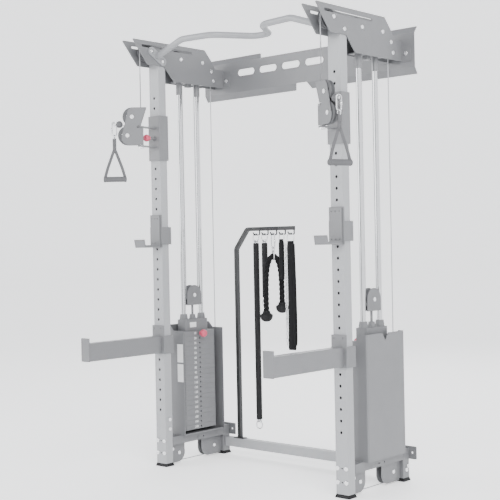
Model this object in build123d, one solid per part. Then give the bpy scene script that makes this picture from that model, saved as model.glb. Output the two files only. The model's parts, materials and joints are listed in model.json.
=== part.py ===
from build123d import *
import os
from math import atan2, cos, hypot, pi, radians, sin

# Dual-stack cable machine with a rack front: two perforated uprights, each with an adjustable
# pulley carriage, a weight stack behind it, a pull-up bar and a storage rack for attachments.
#
# Millimetres, +Z up, +X to the user's right, -Y towards the user.  The origin is on the floor,
# midway between the two front uprights.  Every side part is drawn for the right side (+X) and
# mirrored across X = 0 for the left side.

# ---------------------------------------------------------------- driving dimensions
UPRIGHT_X = 570          # centre of each side unit
TUBE_W = 70              # upright and rear post, along X
TUBE_D = 50              # upright and rear post, along Y
WALL = 3
FOOT_H = 15              # rubber foot under each post
UPRIGHT_TOP = 2060
HOLE_Z0 = 286            # lowest adjustment hole
HOLE_PITCH = 50.8
HOLE_COUNT = 32
HOLE_R = 6.5
PLATE_T = 5              # top side plates
FRONT_Y = -TUBE_D / 2
BACK_Y = TUBE_D / 2
POST_Y0 = 400            # front face of the rear post
POST_Y1 = POST_Y0 + TUBE_D
POST_TOP = 150
BEAM_Z0 = 102
BEAM_Z1 = 142
BAR_Y0 = 415             # base crossbar
BAR_Y1 = 450
BAR_Z0 = 41
BAR_Z1 = 88
CROSS_Y = 455            # front face of the rear crossmember
CROSS_HALF = 672
CROSS_T = 4

STACK_Y = 218            # centre of the weight stack
ROD_OFFSET = 64
ROD_R = 12.5
STACK_L = 226
STACK_W = 100
STACK_PITCH = 25.4
STACK_GAP = 0.6
STACK_COUNT = 19
STACK_Z0 = 164
PAD_T = 6                # steel pad under the stack
HEAD_Z0 = STACK_Z0 + STACK_COUNT * STACK_PITCH
HEAD_Z1 = HEAD_Z0 + STACK_PITCH - STACK_GAP
ROD_TOP = 1956
SOCKET_H = 62
ROD_BORE_R = ROD_R + 0.7
SELECTOR_R = 9
PIN_R = 4.5
PIN_Z = HEAD_Z0 + 12

CABLE_R = 2.4
GROOVE_R = 43            # large pulleys, to the cable's centre line
SMALL_GROOVE_R = 30      # rear top pulleys
RIM = 4.5
WHEEL_W = 20
AXLE_R = 6
SWIVEL_Y = -118          # vertical swivel axis of the pulley housing
SWIVEL_DEG = {1: 70, -1: 47}   # how far the right and left housings are turned outwards
FRONT_PULLEY = (SWIVEL_Y + GROOVE_R, 2088)
STACK_PULLEY = (STACK_Y - 2 * GROOVE_R, 2070)
BLOCK_PULLEY = (STACK_Y, 856)
REAR_PULLEY_A = (STACK_Y + GROOVE_R + SMALL_GROOVE_R, 2070)
REAR_PULLEY_B = (358, 2031)
REAR_RUN_Y = REAR_PULLEY_B[0] + SMALL_GROOVE_R
BASE_REAR = (REAR_RUN_Y - GROOVE_R, 54)
BASE_FRONT = (85, 54)
LOWER_RUN_Y = BASE_FRONT[0] - GROOVE_R

SHROUD_X0 = 508
SHROUD_X1 = 636
SHROUD_Y0 = 86
SHROUD_Y1 = 380
SHROUD_Z1 = 706
SHROUD_SIDE_Z1 = 678
SHROUD_T = 3

SLEEVE_GAP = 2.5         # plastic-lined play between the sleeve and the upright
SLEEVE_T = 4.5
SLEEVE_Z0 = 1546
SLEEVE_Z1 = 1771
ARM_Z = (1612, 1707)     # undersides of the two swivel arms
ARM_T = 6
PIN_HOLE = 27            # hole index that the carriage pin faces
UPPER_WHEEL = (43.5, 1761)
LOWER_WHEEL = (67.5, 1668)
HANDLE_U = 108           # stop ball, along the housing from the swivel axis
HANDLE_Z = 1725

J_Z0 = 1108
J_Z1 = 1272
J_HOLE = 18
J_REACH = 110
ARM_Z0 = 575             # spotter arm
ARM_Z1 = 661
ARM_END_Y = -500
ARM_HOLE = 7

RACK_X = -443            # accessory rack post
RACK_Y = 432
RACK_TUBE = 20
RACK_BAR_Z = 1193
RACK_END_X = -48
HOOK_X0 = -279
HOOK_PITCH = 58
HOOK_COUNT = 5
HOOK_R = 3.5
HOOK_Z = 1162
HANG_Y = 402
RING_R = 20
RING_WIRE = 2.5
RING_TOP_Z = HOOK_Z + HOOK_R + RING_WIRE + 0.4
GRIP_BAR_R = 15.5
GRIP_BAR_TOP = 1120
LONG_BAR_Z0 = 207
SHORT_BAR_Z0 = 840
ROPE_R = 15
ROPE_TOP_Z = 1051.4
ROPE_RING_R = 24
CLIP_LENGTH = 82
ROPE_END_Z = (770, 812)  # lower ends of the left and right legs

WALL_HOLE_DX = 52        # wall bolt holes, either side of each rear post
WALL_HOLE_Z = 129
WALL_HOLE_R = 5.5
ANCHOR_Z = 1560          # where the cable's lower end meets the carriage
PIVOT_R = 9              # hollow swivel tube
POP_R = 6                # carriage pin
CARRIAGE_PIN_Z = HOLE_Z0 + PIN_HOLE * HOLE_PITCH
BLOCK_Z0 = 804           # underside of the floating pulley block
BALL_R = 17.5
GRIP_R = 13
GRIP_HALF = 56
FIT_GAP = 0.5            # rack fittings to upright
SADDLE_T = 6
ROPE_SPREAD = (25, 33)   # how far each rope leg hangs from its link, along X and Y


# ---------------------------------------------------------------- helpers
def block(x0, x1, y0, y1, z0, z1):
    centre = ((x0 + x1) / 2, (y0 + y1) / 2, (z0 + z1) / 2)
    return Pos(*centre) * Box(x1 - x0, y1 - y0, z1 - z0)


def rod(start, axis, radius, length):
    place = Plane(origin=start, z_dir=axis)
    return place * Cylinder(radius, length, align=(Align.CENTER, Align.CENTER, Align.MIN))


def rounded_post(width, depth, radius, z0, z1, centre=(0, 0)):
    sketch = Plane.XY.offset(z0) * Pos(*centre) * RectangleRounded(width, depth, radius)
    return extrude(sketch, amount=z1 - z0)


def yz_plate(points, x0, x1):
    """A plate standing in the YZ plane, cut to an outline of (y, z) points."""
    sketch = make_face(Plane.YZ * Polyline(*points, close=True))
    return Pos(x0, 0, 0) * extrude(sketch, amount=x1 - x0, dir=(1, 0, 0))


def round_end_plate(edge_y, centre, radius, z_top, x0, x1):
    """A cheek plate with a straight edge at edge_y and a round end about centre."""
    top = max(z_top, centre[1])
    z_low = centre[1] - radius
    low, high = sorted((edge_y, centre[0]))
    body = block(x0, x1, low, high, z_low, top)
    end = rod((x0, centre[0], centre[1]), (1, 0, 0), radius, x1 - x0)
    shoulder = block(x0, x1, centre[0] - radius, centre[0] + radius, centre[1], top)
    return body + end + shoulder


def group(shapes):
    """Keep the given shapes as separate solids of one node."""
    solids = []
    for shape in shapes:
        solids += list(shape.solids())
    return Compound(children=solids)


def mirrored(shape):
    return mirror(shape, about=Plane.YZ)


def both_sides(shapes):
    """The right-hand shapes and their mirror images as one group."""
    solids = list(group(shapes).solids())
    return group(solids + [mirrored(s) for s in solids])


def wheel(groove_r, width, bore):
    """A grooved pulley about Z, centred on the origin."""
    outer = groove_r + RIM
    deep = groove_r - CABLE_R - 0.3
    flat = width / 2
    profile = Polyline(
        (bore, -flat), (outer, -flat), (outer, -flat + 3), (deep, -2.2),
        (deep, 2.2), (outer, flat - 3), (outer, flat), (bore, flat), close=True,
    )
    body = revolve(make_face(Plane.XZ * profile), Axis.Z)
    for k in range(5):
        spot = PolarLocations(groove_r * 0.58, 5).locations[k]
        body -= spot * Cylinder(groove_r * 0.14, width + 2)
    return body


def wheel_at(centre, groove_r):
    place = Plane(origin=(UPRIGHT_X, centre[0], centre[1]), z_dir=(1, 0, 0))
    return place * wheel(groove_r, WHEEL_W, AXLE_R + 0.08)


# ---------------------------------------------------------------- fasteners and axles
BOLT_R = 5
HEAD_R = 10
HEAD_H = 4
CLEAR = 0.15
X_IN = UPRIGHT_X - TUBE_W / 2
X_OUT = UPRIGHT_X + TUBE_W / 2
X_PLATE_IN = X_IN - PLATE_T
X_PLATE_OUT = X_OUT + PLATE_T
CHEEK_GAP = 12           # half the space between the cheeks of a pulley bracket
CHEEK_T = 4


def button_head(point, out):
    head = rod(point, out, HEAD_R, HEAD_H)
    rim = head.edges().filter_by(GeomType.CIRCLE).sort_by(Axis(point, out))[-1]
    socket = rod([p + 1.5 * o for p, o in zip(point, out)], out, 3, HEAD_H)
    return fillet(rim, 2.5) - socket


def bolt(point, out, length):
    """A button-head bolt whose head sits on the face at point and looks along out."""
    inward = [-o for o in out]
    return button_head(point, out) + rod(point, inward, BOLT_R, length)


def axle(centre, x0, x1):
    """A pulley axle from face to face with a head on each end."""
    y, z = centre
    shaft = rod((x0, y, z), (1, 0, 0), AXLE_R, x1 - x0)
    return shaft + button_head((x0, y, z), (-1, 0, 0)) + button_head((x1, y, z), (1, 0, 0))


def spacers(centre, start):
    """The tubes that keep a guide pulley midway between its two side walls."""
    y, z = centre
    tube = rod((start, y, z), (1, 0, 0), AXLE_R + 4, UPRIGHT_X - WHEEL_W / 2 - start - 0.3)
    tube -= rod((X_IN, y, z), (1, 0, 0), AXLE_R + CLEAR, TUBE_W)
    far = mirror(tube, about=Plane(origin=(UPRIGHT_X, 0, 0), z_dir=(1, 0, 0)))
    return [tube, far]


def bolt_sites():
    """(face point, outward direction, shank length) for each bolt of the right side unit."""
    sites = []
    for z in (67.5, 129):
        for dx in (-23, 23):
            sites.append(((UPRIGHT_X + dx, FRONT_Y, z), (0, -1, 0), WALL + 3))
    for z in (187, 236):
        sites.append(((X_IN, 6, z), (-1, 0, 0), WALL + 3))
    for y, z in ((425, 52), (439, 68)):
        sites.append(((X_OUT, y, z), (1, 0, 0), WALL + 3))
    for x, out in ((X_PLATE_OUT, 1), (X_PLATE_IN, -1)):
        sites.append(((x, 0, 2044), (out, 0, 0), PLATE_T + WALL + 2))
    for x, out in ((X_PLATE_OUT, 1), (X_PLATE_IN, -1)):
        sites.append(((x, 372, 1984), (out, 0, 0), PLATE_T + CROSS_T + 3))
    for dx in (-58, 58):
        sites.append(((UPRIGHT_X + dx, CROSS_Y - CROSS_T, 1988), (0, -1, 0), 2 * CROSS_T + 3))
    for dx in (-CHEEK_GAP - CHEEK_T, CHEEK_GAP + CHEEK_T):
        sites.append(((UPRIGHT_X + dx, 38, 78), (1 if dx > 0 else -1, 0, 0), CHEEK_T + 3))
    return sites


def axle_spans():
    """(centre, x0, x1) for each fixed pulley axle of the right side unit."""
    cheek = CHEEK_GAP + CHEEK_T
    return [
        (FRONT_PULLEY, X_PLATE_IN, X_PLATE_OUT),
        (STACK_PULLEY, X_PLATE_IN, X_PLATE_OUT),
        (REAR_PULLEY_A, X_PLATE_IN, X_PLATE_OUT),
        (REAR_PULLEY_B, X_PLATE_IN, X_PLATE_OUT),
        (BASE_FRONT, UPRIGHT_X - cheek, UPRIGHT_X + cheek),
        (BASE_REAR, UPRIGHT_X - cheek, UPRIGHT_X + cheek),
    ]


def drill_right(shape):
    """Clearance holes for every bolt and axle that reaches into a right-hand part."""
    bounds = shape.bounding_box()
    for point, out, length in bolt_sites():
        inward = [-o for o in out]
        end = [p + i * length for p, i in zip(point, inward)]
        inside = all(
            max(p, e) >= low - BOLT_R and min(p, e) <= high + BOLT_R
            for p, e, low, high in zip(point, end, tuple(bounds.min), tuple(bounds.max))
        )
        if inside:
            shape -= rod([p + o * 0.5 for p, o in zip(point, out)], inward, BOLT_R + CLEAR, length + 1)
    for (y, z), x0, x1 in axle_spans():
        reach = x0 - 1 < bounds.max.X and x1 + 1 > bounds.min.X
        if reach and bounds.min.Y < y < bounds.max.Y and bounds.min.Z < z < bounds.max.Z:
            shape -= rod((x0 - 1, y, z), (1, 0, 0), AXLE_R + CLEAR, x1 - x0 + 2)
    return shape


def frame_bolts():
    parts = [bolt(*site) for site in bolt_sites()]
    parts += [axle(*span) for span in axle_spans()]
    for centre in (FRONT_PULLEY, STACK_PULLEY, REAR_PULLEY_A):
        parts += spacers(centre, X_IN)
    parts += spacers(REAR_PULLEY_B, X_IN + CROSS_T)
    return both_sides(parts)


# ---------------------------------------------------------------- frame
def upright():
    outer = rounded_post(TUBE_W, TUBE_D, 4, FOOT_H, UPRIGHT_TOP, (UPRIGHT_X, 0))
    inner = rounded_post(TUBE_W - 2 * WALL, TUBE_D - 2 * WALL, 2, FOOT_H, UPRIGHT_TOP, (UPRIGHT_X, 0))
    post = outer - inner
    cuts = [
        rod((UPRIGHT_X, FRONT_Y - 1, HOLE_Z0 + k * HOLE_PITCH), (0, 1, 0), HOLE_R, WALL + 2)
        for k in range(HOLE_COUNT)
    ]
    cuts += [rod((UPRIGHT_X, FRONT_Y - 1, z), (0, 1, 0), 4, WALL + 2) for z in (67.5, 129)]
    return drill_right(post - cuts)


def foot_pads():
    """Flared rubber shoes that plug the bottom of each post."""
    pads = []
    for centre_y in (0, (POST_Y0 + POST_Y1) / 2):
        base = Plane.XY * Pos(UPRIGHT_X, centre_y) * RectangleRounded(TUBE_W + 12, TUBE_D + 12, 7)
        top = Plane.XY.offset(FOOT_H) * Pos(UPRIGHT_X, centre_y) * RectangleRounded(TUBE_W, TUBE_D, 4)
        pads.append(loft([base, top]))
    return both_sides(pads)


def top_plate(x0):
    outline = [
        (-200, 2138), (-100, 2020), (14, 2020), (80, 1951), (356, 1951),
        (398, 2005), (393, 2036), (355, 2090), (309, 2139),
    ]
    plate = yz_plate(outline, x0, x0 + PLATE_T)
    corners = plate.edges().filter_by(Axis.X)
    plate = fillet(corners, 4)
    slot = yz_plate([(-140, 2104), (212, 2104), (212, 2117), (-140, 2117)], x0 - 1, x0 + PLATE_T + 1)
    return drill_right(plate - fillet(slot.edges().filter_by(Axis.X), 6))


def crossmember():
    """A folded sheet channel behind the machine, with lips bent backwards."""
    section = Polyline(
        (CROSS_Y, 2082), (CROSS_Y, 1922), (CROSS_Y + 20, 1890), (CROSS_Y + 24.5, 1892.5),
        (CROSS_Y + CROSS_T, 1923.5), (CROSS_Y + CROSS_T, 2080.5), (CROSS_Y + 26, 2108),
        (CROSS_Y + 22, 2111), close=True,
    )
    body = extrude(make_face(Plane.YZ * section), amount=2 * CROSS_HALF, dir=(1, 0, 0))
    body = Pos(-CROSS_HALF, 0, 0) * body
    body -= block(-271, 271, CROSS_Y - 5, CROSS_Y + 40, 2083, 2120)
    for side in (-1, 1):
        ramp = Plane.XZ * Polyline((-side, 2083), (-side, 2120), (24 * side, 2120), close=True)
        cut = extrude(make_face(ramp), amount=80, both=True)
        body -= Pos(side * 271, CROSS_Y, 0) * cut
    notch = Polyline((-56, 1885), (-34, 1924), (34, 1924), (56, 1885), close=True)
    body -= Pos(0, CROSS_Y, 0) * extrude(make_face(Plane.XZ * notch), amount=60, both=True)
    for k in range(4):
        pill = Plane.XZ * Pos(-372 + 152 * k, 2022) * SlotOverall(116, 34)
        body -= Pos(0, CROSS_Y, 0) * extrude(pill, amount=40, both=True)
    for dx in (-58, 58):
        for side in (-1, 1):
            centre = (side * (UPRIGHT_X + dx), CROSS_Y - 1, 1988)
            body -= rod(centre, (0, 1, 0), BOLT_R + CLEAR, CROSS_T + 2)
    return body


def crossmember_brackets():
    """Angle brackets from the top side plates to the crossmember."""
    outer = block(X_OUT - CROSS_T, X_OUT, 335, CROSS_Y, 1953, 2046)
    outer += block(X_OUT - CROSS_T, X_PLATE_OUT + 44, CROSS_Y - CROSS_T, CROSS_Y, 1952, 2026)
    outer = fillet(outer.edges().filter_by(Axis.X).filter_by(
        lambda e: abs(e.center().Y - 335) < 1), 12)
    inner = mirror(outer, about=Plane(origin=(UPRIGHT_X, 0, 0), z_dir=(1, 0, 0)))
    return both_sides([drill_right(outer), drill_right(inner)])


def pull_up_bar():
    """A bent multi-grip bar with an oblong flange on each end."""
    flange_mid = (FRONT_PULLEY[0] / 2, (FRONT_PULLEY[1] + 2044) / 2)
    end_x = X_PLATE_IN - 6
    half = [
        (end_x, flange_mid[0], flange_mid[1]), (347, -43, 2127), (162, -29, 2125), (45, 163, 2126),
    ]
    points = half + [(-x, y, z) for x, y, z in reversed(half)]
    radii = [110, 80, 62, 62, 80, 110]
    path = FilletPolyline(*points, radius=radii)
    start = Plane(origin=path @ 0, z_dir=path % 0)
    bar = sweep(start * Circle(15.5), path=path)
    drop = FRONT_PULLEY[1] - 2044
    run = FRONT_PULLEY[0]
    span = hypot(drop, run)
    tilt = atan2(drop, run) * 180 / pi
    face = Plane(origin=(end_x, *flange_mid), x_dir=(0, cos(radians(tilt)), sin(radians(tilt))), z_dir=(1, 0, 0))
    flange = extrude(face * SlotCenterToCenter(span, 44), amount=6)
    for y, z in (FRONT_PULLEY, (0, 2044)):
        flange -= rod((end_x - 1, y, z), (1, 0, 0), HEAD_R + 1, 8)
    reach = bar.bounding_box().max.X
    trim = block(end_x, reach + 5, -200, 200, 1900, 2300)
    bar = bar - trim - mirrored(trim)
    return bar + flange + mirrored(flange)


def base_beam():
    """The low tube from upright to rear post, with the pad that carries the stack."""
    beam = block(X_IN, X_OUT, BACK_Y, POST_Y0, BEAM_Z0, BEAM_Z1)
    beam -= block(X_IN + WALL, X_OUT - WALL, BACK_Y, POST_Y0, BEAM_Z0 + WALL, BEAM_Z1 - WALL)
    pad = block(SHROUD_X0 + 4, SHROUD_X1 - 6, SHROUD_Y0 + 6, SHROUD_Y1 - 4, BEAM_Z1, BEAM_Z1 + PAD_T)
    beam += pad
    for y in (LOWER_RUN_Y, REAR_RUN_Y):
        beam -= block(UPRIGHT_X - 8, UPRIGHT_X + 8, y - 9, y + 9, BEAM_Z0 - 1, BEAM_Z1 + PAD_T + 1)
    for y in (STACK_Y - 12, STACK_Y + 30):
        beam -= rod((X_IN - 1, y, BEAM_Z0 + 16), (1, 0, 0), 4, TUBE_W + 2)
    return beam


def rear_post():
    centre = (UPRIGHT_X, (POST_Y0 + POST_Y1) / 2)
    post = rounded_post(TUBE_W, TUBE_D, 4, FOOT_H, POST_TOP, centre)
    post -= rounded_post(TUBE_W - 2 * WALL, TUBE_D - 2 * WALL, 2, FOOT_H, POST_TOP - WALL, centre)
    plate = block(UPRIGHT_X - 74, UPRIGHT_X + 74, POST_Y1, POST_Y1 + 5, 99, 159)
    plate = fillet(plate.edges().filter_by(Axis.Y), 5)
    for dx in (-WALL_HOLE_DX, WALL_HOLE_DX):
        plate -= rod((UPRIGHT_X + dx, POST_Y1 - 1, WALL_HOLE_Z), (0, 1, 0), WALL_HOLE_R, 8)
    return drill_right(post) + plate


def base_crossbar():
    bar = block(-X_IN, X_IN, BAR_Y0, BAR_Y1, BAR_Z0, BAR_Z1)
    return bar - block(-X_IN, X_IN, BAR_Y0 + WALL, BAR_Y1 - WALL, BAR_Z0 + WALL, BAR_Z1 - WALL)


def shroud():
    """A folded sheet guard round three sides of the stack, open towards the middle."""
    z0 = BEAM_Z1
    outer = block(SHROUD_X0, SHROUD_X1, SHROUD_Y0, SHROUD_Y1, z0, SHROUD_Z1)
    outer = fillet(outer.edges().filter_by(Axis.Z).filter_by(lambda e: e.center().X > UPRIGHT_X), 8)
    inner = block(
        SHROUD_X0 - 1, SHROUD_X1 - SHROUD_T, SHROUD_Y0 + SHROUD_T, SHROUD_Y1 - SHROUD_T,
        z0 - 1, SHROUD_Z1 + 1,
    )
    guard = outer - inner
    step = SHROUD_Z1 - SHROUD_SIDE_Z1
    cut = Polyline(
        (SHROUD_X0 - 1, SHROUD_SIDE_Z1), (UPRIGHT_X + 10, SHROUD_SIDE_Z1),
        (UPRIGHT_X + 10 + step, SHROUD_Z1 + 1), (SHROUD_X0 - 1, SHROUD_Z1 + 1), close=True,
    )
    guard -= Pos(0, 250, 0) * extrude(make_face(Plane.XZ * cut), amount=250, both=True)
    vee = [(STACK_Y - 16, 712), (STACK_Y + 12, 672), (STACK_Y + 40, 712)]
    guard -= yz_plate(vee, SHROUD_X1 - 8, SHROUD_X1 + 1)
    return guard


def base_brackets():
    """Pairs of round-ended cheeks that carry the two base pulleys."""
    parts = []
    for edge, plate_y, centre, radius in (
        (BACK_Y, BACK_Y, (78, 54), 47), (POST_Y0, POST_Y0 - CHEEK_T, (300, 54), 47),
    ):
        cheeks = [
            round_end_plate(edge, centre, radius, BEAM_Z0, x0, x0 + CHEEK_T)
            for x0 in (UPRIGHT_X - CHEEK_GAP - CHEEK_T, UPRIGHT_X + CHEEK_GAP)
        ]
        web = block(
            UPRIGHT_X - CHEEK_GAP, UPRIGHT_X + CHEEK_GAP, plate_y, plate_y + CHEEK_T,
            centre[1] - radius, BEAM_Z0,
        )
        foot = block(UPRIGHT_X - 40, UPRIGHT_X + 40, edge - 8, edge + 8, 0, FOOT_H + 1)
        parts.append(drill_right(cheeks[0] + cheeks[1] + web - foot))
    return both_sides(parts)


# ---------------------------------------------------------------- pulleys and cables
def guide_pulleys():
    parts = [wheel_at(c, GROOVE_R) for c in (FRONT_PULLEY, STACK_PULLEY, BASE_FRONT, BASE_REAR)]
    parts += [wheel_at(c, SMALL_GROOVE_R) for c in (REAR_PULLEY_A, REAR_PULLEY_B)]
    return both_sides(parts)


def on_side(y, z):
    return Vector(UPRIGHT_X, y, z)


def round_pulley(centre, radius, start_deg, end_deg):
    """The stretch of cable that lies in a pulley's groove."""
    def at(angle):
        a = radians(angle)
        return on_side(centre[0] + radius * cos(a), centre[1] + radius * sin(a))
    return ThreePointArc(at(start_deg), at((start_deg + end_deg) / 2), at(end_deg))


def cable_along(edges):
    path = Wire(edges)
    start = Plane(origin=path @ 0, z_dir=path % 0)
    return sweep(start * Circle(CABLE_R), path=path)


def upper_route():
    """From the carriage over the front pulley and the stack pulley."""
    fall = atan2(STACK_PULLEY[1] - FRONT_PULLEY[1], STACK_PULLEY[0] - FRONT_PULLEY[0])
    top = 90 + fall * 180 / pi
    first = Line(on_side(SWIVEL_Y, UPPER_WHEEL[1]), on_side(SWIVEL_Y, FRONT_PULLEY[1]))
    over_front = round_pulley(FRONT_PULLEY, GROOVE_R, 180, top)
    over_stack = round_pulley(STACK_PULLEY, GROOVE_R, top, 0)
    level = Line(over_front @ 1, over_stack @ 0)
    return [first, over_front, level, over_stack]


def lower_route():
    """From the stack over the rear pulleys, down the back, under the base and up to the carriage."""
    fall = atan2(REAR_PULLEY_B[1] - REAR_PULLEY_A[1], REAR_PULLEY_B[0] - REAR_PULLEY_A[0])
    top = 90 + fall * 180 / pi
    over_a = round_pulley(REAR_PULLEY_A, SMALL_GROOVE_R, 180, top)
    over_b = round_pulley(REAR_PULLEY_B, SMALL_GROOVE_R, top, 0)
    under_rear = round_pulley(BASE_REAR, GROOVE_R, 0, -90)
    under_front = round_pulley(BASE_FRONT, GROOVE_R, -90, -180)
    link = Line(over_a @ 1, over_b @ 0)
    down = Line(over_b @ 1, under_rear @ 0)
    along = Line(under_rear @ 1, under_front @ 0)
    up = Line(under_front @ 1, on_side(LOWER_RUN_Y, ANCHOR_Z))
    return [over_a, link, over_b, down, under_rear, along, under_front, up]


def side_cables():
    return group([cable_along(upper_route()), cable_along(lower_route())])


def stack_cable():
    left = Line(on_side(STACK_Y - GROOVE_R, STACK_PULLEY[1]), on_side(STACK_Y - GROOVE_R, BLOCK_PULLEY[1]))
    under = round_pulley(BLOCK_PULLEY, GROOVE_R, 180, 360)
    right = Line(under @ 1, on_side(STACK_Y + GROOVE_R, REAR_PULLEY_A[1]))
    return cable_along([left, under, right])


# ---------------------------------------------------------------- weight stack
def rod_spots():
    return [(UPRIGHT_X, STACK_Y - ROD_OFFSET), (UPRIGHT_X, STACK_Y + ROD_OFFSET)]


def guide_rods():
    """Chromed rods, the sockets that hold their tops, and the tie plate between the side plates."""
    parts = []
    for x, y in rod_spots():
        parts.append(rod((x, y, BEAM_Z1 + PAD_T), (0, 0, 1), ROD_R, ROD_TOP - BEAM_Z1 - PAD_T))
        socket = rod((x, y, ROD_TOP - SOCKET_H), (0, 0, 1), 16, SOCKET_H)
        parts.append(socket - rod((x, y, ROD_TOP - SOCKET_H - 1), (0, 0, 1), ROD_R, SOCKET_H + 2))
    tie = block(X_IN, X_OUT, STACK_Y - 96, STACK_Y + 100, ROD_TOP, ROD_TOP + 6)
    for y in (STACK_Y - GROOVE_R, STACK_Y + GROOVE_R):
        tie -= rod((UPRIGHT_X, y, ROD_TOP - 1), (0, 0, 1), 7, 10)
    parts.append(tie)
    parts.append(block(UPRIGHT_X - 12, UPRIGHT_X + 12, STACK_Y - 14, STACK_Y + 14, ROD_TOP - 18, ROD_TOP))
    return both_sides(parts)


def stack_plate(z0):
    plate = block(
        UPRIGHT_X - STACK_W / 2, UPRIGHT_X + STACK_W / 2, STACK_Y - STACK_L / 2, STACK_Y + STACK_L / 2,
        z0, z0 + STACK_PITCH - STACK_GAP,
    )
    plate = chamfer(plate.edges().filter_by(Axis.Z), 5)
    for x, y in rod_spots():
        plate -= rod((x, y, z0 - 1), (0, 0, 1), ROD_BORE_R, STACK_PITCH + 2)
    return plate


def weight_plates():
    parts = []
    for k in range(STACK_COUNT):
        z0 = STACK_Z0 + k * STACK_PITCH
        plate = stack_plate(z0)
        plate -= rod((UPRIGHT_X, STACK_Y, z0 - 1), (0, 0, 1), SELECTOR_R + 2, STACK_PITCH + 2)
        plate -= rod((UPRIGHT_X - STACK_W / 2 - 1, STACK_Y, z0 + 12), (1, 0, 0), PIN_R + 0.7, STACK_W / 2)
        parts.append(plate)
    return both_sides(parts)


def stack_bumpers():
    base = BEAM_Z1 + PAD_T
    parts = []
    for x, y in rod_spots():
        ring = rod((x, y, base), (0, 0, 1), 24, STACK_Z0 - base)
        parts.append(ring - rod((x, y, base - 1), (0, 0, 1), ROD_R, STACK_Z0))
    return both_sides(parts)


def lift_head():
    """Head plate, casting with three bosses, selector rod, stem and pulley block."""
    body = stack_plate(HEAD_Z0)
    body += extrude(
        Plane.XY.offset(HEAD_Z1) * Pos(UPRIGHT_X, STACK_Y) * RectangleRounded(64, 168, 12), amount=60,
    )
    top = HEAD_Z1 + 60
    for x, y in rod_spots():
        body += Pos(x, y, top + 14) * Cone(22, 18, 28)
        body -= rod((x, y, HEAD_Z0 - 1), (0, 0, 1), ROD_BORE_R, 200)
    body += Pos(UPRIGHT_X, STACK_Y, top + 12) * Cone(18, 14, 24)
    body += rod((UPRIGHT_X, STACK_Y, top + 20), (0, 0, 1), 6, BLOCK_Z0 - top - 18)
    body += rod((UPRIGHT_X, STACK_Y, STACK_Z0 + 6), (0, 0, 1), SELECTOR_R, HEAD_Z0 - STACK_Z0)
    body -= rod((UPRIGHT_X - STACK_W / 2 - 1, STACK_Y, PIN_Z), (1, 0, 0), PIN_R + 0.08, STACK_W / 2 + 1)
    cheek_out = CHEEK_GAP + 1.5 + CHEEK_T
    body += block(
        UPRIGHT_X - cheek_out, UPRIGHT_X + cheek_out, STACK_Y - 20, STACK_Y + 20, BLOCK_Z0, BLOCK_Z0 + 4,
    )
    for x0 in (UPRIGHT_X - cheek_out, UPRIGHT_X + CHEEK_GAP + 1.5):
        cheek = block(x0, x0 + CHEEK_T, STACK_Y - 52, STACK_Y + 52, BLOCK_Z0, BLOCK_PULLEY[1])
        cheek += rod((x0, *BLOCK_PULLEY), (1, 0, 0), 52, CHEEK_T)
        cheek -= block(x0 - 1, x0 + 6, STACK_Y - 60, STACK_Y + 60, BLOCK_Z0 - 10, BLOCK_Z0)
        body += cheek
    body += rod((UPRIGHT_X - cheek_out - 3, *BLOCK_PULLEY), (1, 0, 0), AXLE_R, 2 * cheek_out + 6)
    for x0 in (UPRIGHT_X - cheek_out - 3, UPRIGHT_X + cheek_out):
        body += rod((x0, *BLOCK_PULLEY), (1, 0, 0), HEAD_R, 3)
    return body


def knobbed_pin(tip, out, pin_r, length, knob_r):
    """A straight pin from its tip outwards, with a round knob on the far end."""
    profile = Polyline(
        (0, 0), (pin_r - 1, 0), (pin_r, 1), (pin_r, length), (knob_r * 0.6, length),
        (knob_r * 0.6, length + knob_r * 0.35),
    )
    low = length + knob_r * 0.35
    top = length + knob_r * 1.75
    cap = ThreePointArc((knob_r * 0.6, low), (knob_r, (low + top) / 2), (knob_r * 0.6, top))
    close = Polyline((knob_r * 0.6, top), (0, top), (0, 0))
    body = revolve(make_face(Plane.XZ * Wire([*profile.edges(), *cap.edges(), *close.edges()])), Axis.Z)
    return Plane(origin=tip, z_dir=out) * body


def selector_pin():
    face_x = UPRIGHT_X - STACK_W / 2
    return knobbed_pin((face_x + 36, STACK_Y, PIN_Z), (-1, 0, 0), PIN_R, 44, 20)


# ---------------------------------------------------------------- carriage
def carriage():
    """A sleeve on the upright with two arms for the swivel and a barrel for the pin."""
    inner_w = TUBE_W + 2 * SLEEVE_GAP
    inner_d = TUBE_D + 2 * SLEEVE_GAP
    centre = (UPRIGHT_X, 0)
    body = rounded_post(inner_w + 2 * SLEEVE_T, inner_d + 2 * SLEEVE_T, 6, SLEEVE_Z0, SLEEVE_Z1, centre)
    body -= rounded_post(inner_w, inner_d, 4, SLEEVE_Z0, SLEEVE_Z1, centre)
    front = -inner_d / 2 - SLEEVE_T
    for z0 in ARM_Z:
        arm = block(UPRIGHT_X - 17, UPRIGHT_X + 17, SWIVEL_Y, front, z0, z0 + ARM_T)
        arm += rod((UPRIGHT_X, SWIVEL_Y, z0), (0, 0, 1), 17, ARM_T)
        arm -= rod((UPRIGHT_X, SWIVEL_Y, z0 - 1), (0, 0, 1), PIVOT_R + 0.08, ARM_T + 2)
        body += arm
    body += rod((UPRIGHT_X, front, CARRIAGE_PIN_Z), (0, -1, 0), 12, 8)
    body -= rod((UPRIGHT_X, front - 9, CARRIAGE_PIN_Z), (0, 1, 0), POP_R + 0.08, 20)
    back = inner_d / 2 + SLEEVE_T
    body += block(UPRIGHT_X - 10, UPRIGHT_X + 10, back, LOWER_RUN_Y + 10, ANCHOR_Z, ANCHOR_Z + 16)
    return body


def pop_pin():
    return knobbed_pin((UPRIGHT_X, FRONT_Y - 1, CARRIAGE_PIN_Z), (0, -1, 0), POP_R, 38, 18)


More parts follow.
